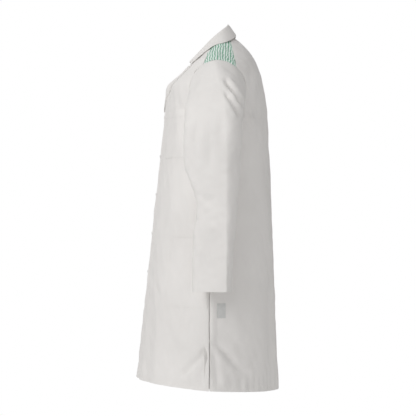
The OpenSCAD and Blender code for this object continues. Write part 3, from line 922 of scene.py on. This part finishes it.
def turned(name, node, body, material, profile):
    # one closed turned piece on every stud's axis; the profile is (radius, distance outside the body)
    points, faces = [], []
    around = 32
    for k in range(studs["count"]):
        z = -studs["first"] - k * studs["pitch"]
        centre = bodyPoint(-math.pi / 2, z)
        slope = (frontY(-z - 0.001) - frontY(-z + 0.001)) / 0.002
        out = Vector((0, -1, -slope)).normalized()
        across = Vector((1, 0, 0))
        up = across.cross(out)
        base = len(points)
        for radius, off in profile:
            for m in range(around):
                a = 2 * math.pi * m / around
                rim = across * (radius * math.cos(a)) + up * (radius * math.sin(a))
                points.append(tuple(Vector(centre) + out * off + rim))
        rings = len(profile)
        for j in range(rings):
            nextRing = (j + 1) % rings
            for m in range(around):
                a, b = base + j * around + m, base + j * around + (m + 1) % around
                c, d = base + nextRing * around + (m + 1) % around, base + nextRing * around + m
                faces.append([a, d, c, b])
    piece = meshPiece(name, points, faces, material, sharpness=35)
    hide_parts(node)
    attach(piece, body)
    return piece


def dome(radius, low, high, lip=0.0006, core=0.0002):
    # a capped turned profile: flat underside, rounded lip and a domed face
    brim, foot = radius - lip * 0.4, low + lip * 1.6
    shape = [(core, low), (radius - lip, low), (radius, low + lip * 0.7), (brim, foot)]
    for k in range(1, 7):
        a = k / 7 * math.pi / 2
        shape.append((brim * math.cos(a), foot + (high - foot) * math.sin(a)))
    shape.append((core, high))
    return shape[::-1]


capFoot = coat["leftLift"] + coat["cloth"] + 0.0009
capShape = dome(studs["capR"], capFoot, capFoot + studs["capHeight"])
socketShape = [(0.0029, 0.0024), (0.0029, 0.0034), (0.0032, 0.0037), (0.0047, 0.0037), (0.0054, 0.0031),
               (0.0054, 0.0024)]
postShape = [(0.0002, 0.0036), (0.0019, 0.0035), (0.0022, 0.0032), (0.0018, 0.0030), (0.0019, 0.0025),
             (0.0044, 0.0024), (0.0054, 0.0021), (0.0054, 0.0017), (0.0002, 0.0017)]
backShape = [(0.0020, -0.0022), (0.0048, -0.0022), (0.0054, -0.0024), (0.0054, -0.0028), (0.0049, -0.0031),
             (0.0020, -0.0031)]
turned("stud_cap_domes", "stud_caps", "left_front", enamel, capShape)
turned("stud_socket_rings", "stud_sockets", "left_front", nickel, socketShape)
turned("stud_post_pins", "stud_posts", "right_front", nickel, postShape)
turned("stud_back_rings", "stud_backs", "right_front", nickel, backShape)


# hanger loop: a strip of tape bent into a half ring under the collar seam
loop = {"inner": 0.020, "width": 0.006, "thick": 0.001, "sag": 0.0006, "y": 0.0525, "z": -0.007}
a = np.linspace(0, math.pi, 40)[:, None]
r = loop["inner"] + loop["width"] * np.linspace(0, 1, 6)[None]
loopY = loop["y"] + loop["sag"] * np.sin(6 * a) + 0 * r
loopTape = surface(np.stack([-r * np.cos(a), loopY, loop["z"] - r * np.sin(a)], -1))
piece = makeCloth("hanger_loop_tape", loopTape, whiteTape, -loop["thick"] / 2, loop["thick"] / 2)
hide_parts("hanger_loop")
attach(piece, "root")


# bar tacks: dense zigzag stitching over the foot of each side opening
tack = {"width": 0.014, "height": 0.003, "turns": 24}


def makeBarTacks():
    paths = []
    for side in (1, -1):
        turn = np.arange(tack["turns"] * 2 + 1)
        y = coat["sideY"] + tack["width"] * (turn / turn[-1] - 0.5)
        z = -coat["ventDrop"] + tack["height"] / 2 * np.where(turn % 2 == 0, 1, -1)
        base = bodyPoint(yAngle(y, z), z)
        shift = base + (bodySkin(0, -coat["ventDrop"], 0.0026) - bodySkin(0, -coat["ventDrop"], 0))
        paths.append(shift * [side, 1, 1])
    return paths


# Stitches are laid by Geometry Nodes along the seam lines. Real ones are 2.5 mm long in 0.25 mm thread;
# they are drawn longer and twice as thick, so that they show.

def stitchTree():
    tree = bpy.data.node_groups.new("runningStitch", "GeometryNodeTree")
    face = tree.interface
    face.new_socket("Geometry", in_out="INPUT", socket_type="NodeSocketGeometry")
    for label, value in (("Stitch Pitch", 0.0038), ("Stitch Length", 0.0029), ("Thread Radius", 0.00025)):
        face.new_socket(label, in_out="INPUT", socket_type="NodeSocketFloat").default_value = value
    face.new_socket("Thread", in_out="INPUT", socket_type="NodeSocketMaterial")
    face.new_socket("Geometry", in_out="OUTPUT", socket_type="NodeSocketGeometry")
    given = addNode(tree, "NodeGroupInput").outputs
    curve = addNode(tree, "GeometryNodeMeshToCurve", None, {"Mesh": given["Geometry"]})
    spaced = addNode(tree, "GeometryNodeResampleCurve", {"mode": "LENGTH"},
                     {"Curve": curve.outputs["Curve"], "Length": given["Stitch Pitch"]})
    bead = addNode(tree, "GeometryNodeMeshUVSphere", {"Segments": 6, "Rings": 4, "Radius": 0.5})
    thick = addNode(tree, "ShaderNodeMath", {"operation": "MULTIPLY", 1: 2.0}, {0: given["Thread Radius"]})
    size = addNode(tree, "ShaderNodeCombineXYZ", None,
                   {"X": thick.outputs[0], "Y": thick.outputs[0], "Z": given["Stitch Length"]})
    way = addNode(tree, "FunctionNodeAlignRotationToVector", {"axis": "Z"},
                  {"Vector": addNode(tree, "GeometryNodeInputTangent").outputs[0]})
    placed = addNode(tree, "GeometryNodeInstanceOnPoints", None,
                     {"Points": spaced.outputs[0], "Instance": bead.outputs["Mesh"],
                      "Rotation": way.outputs[0], "Scale": size.outputs[0]})
    real = addNode(tree, "GeometryNodeRealizeInstances", None, {"Geometry": placed.outputs[0]})
    smooth = addNode(tree, "GeometryNodeSetShadeSmooth", None, {"Geometry": real.outputs[0]})
    coloured = addNode(tree, "GeometryNodeSetMaterial", None,
                       {"Geometry": smooth.outputs[0], "Material": given["Thread"]})
    addNode(tree, "NodeGroupOutput", None, {"Geometry": coloured.outputs[0]})
    return tree


def sew(name, paths, tree, sizes):
    points, edges = [], []
    for path in paths:
        start = len(points)
        points.extend(tuple(p) for p in path)
        edges.extend((start + k, start + k + 1) for k in range(len(path) - 1))
    mesh = bpy.data.meshes.new(name + "_line")
    mesh.from_pydata(points, edges, [])
    line = bpy.data.objects.new(name + "_line", mesh)
    bpy.context.scene.collection.objects.link(line)
    modifier = line.modifiers.new("stitches", "NODES")
    modifier.node_group = tree
    for item in tree.interface.items_tree:
        if item.in_out == "INPUT" and item.name in sizes:
            modifier[item.identifier] = sizes[item.name]
    evaluated = line.evaluated_get(bpy.context.evaluated_depsgraph_get())
    made = bpy.data.meshes.new_from_object(evaluated)
    bpy.data.objects.remove(line)
    made.name = name
    if not made.materials:
        made.materials.append(thread)
    piece = bpy.data.objects.new(name, made)
    bpy.context.scene.collection.objects.link(piece)
    return piece


stitches = stitchTree()
plain = {"Thread": thread}
for side, word in sides:
    frontBlend(sew("front_stitches_" + word, seams["front_" + word], stitches, plain))
    sleeveBlend(sew("sleeve_stitches_" + word, seams["sleeve_" + word], stitches, plain))
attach(sew("body_stitches", seams["body"], stitches, plain), "root")
tacks = sew("bar_tack_threads", makeBarTacks(), stitches,
            {"Thread": thread, "Stitch Pitch": 0.0009, "Stitch Length": 0.0024, "Thread Radius": 0.00035})
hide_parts("bar_tacks")
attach(tacks, "root")
print("stitches sewn")


studio = {
    "aim": (0.0, 0.0, -0.5), "floorZ": -1.55, "floorR": 3.0, "ambient": 0.22,
    "lights": [   # place, size, watts
        ("key", (3.4, -3.2, 1.4), 2.6, 141.0),
        ("backFill", (2.3, 3.4, -0.9), 2.6, 50.0),
        ("farSide", (-3.4, -0.6, 1.2), 2.6, 70.0),
        ("top", (1.2, -0.3, 3.4), 1.6, 28.0),
    ],
}
floorMesh = bpy.data.meshes.new("studio_floor")
ring = [(studio["floorR"] * math.cos(k / 32 * math.pi), studio["floorR"] * math.sin(k / 32 * math.pi),
         studio["floorZ"]) for k in range(64)]
floorMesh.from_pydata(ring, [], [list(range(64))])
floorMaterial, _, floorShader = newMaterial("matteFloor", {"Roughness": 0.9})
floorShader.inputs["Base Color"].default_value = linear("#E6E6E6")
floorMesh.materials.append(floorMaterial)
floor = bpy.data.objects.new("studio_floor", floorMesh)
bpy.context.scene.collection.objects.link(floor)

for name, place, size, watts in studio["lights"]:
    lamp = bpy.data.lights.new(name, "AREA")
    lamp.energy = watts
    lamp.size = size
    lampObject = bpy.data.objects.new(name, lamp)
    lampObject.location = place
    lampObject.rotation_euler = (Vector(studio["aim"]) - Vector(place)).to_track_quat("-Z", "Y").to_euler()
    bpy.context.scene.collection.objects.link(lampObject)

world = bpy.data.worlds.new("studio_air")
world.use_nodes = True
tree = world.node_tree
tree.nodes.clear()
seen = addNode(tree, "ShaderNodeLightPath")
plainWhite = addNode(tree, "ShaderNodeBackground", {"Color": (1, 1, 1, 1), "Strength": 1.0})
glow = addNode(tree, "ShaderNodeBackground", {"Color": (1, 1, 1, 1), "Strength": studio["ambient"]})
choice = addNode(tree, "ShaderNodeMixShader", None,
                 {0: seen.outputs["Is Camera Ray"], 1: glow.outputs[0], 2: plainWhite.outputs[0]})
addNode(tree, "ShaderNodeOutputWorld", None, {"Surface": choice.outputs[0]})
bpy.context.scene.world = world
bpy.context.scene.view_settings.view_transform = "Standard"

lens = bpy.data.cameras.new("camera")
lens.lens = 144.2
camera = bpy.data.objects.new("camera", lens)
camera.location = (5.0, -0.015, -0.516)
camera.rotation_euler = (math.pi / 2, 0, math.pi / 2)
bpy.context.scene.collection.objects.link(camera)
bpy.context.scene.camera = camera

print("scene ready")
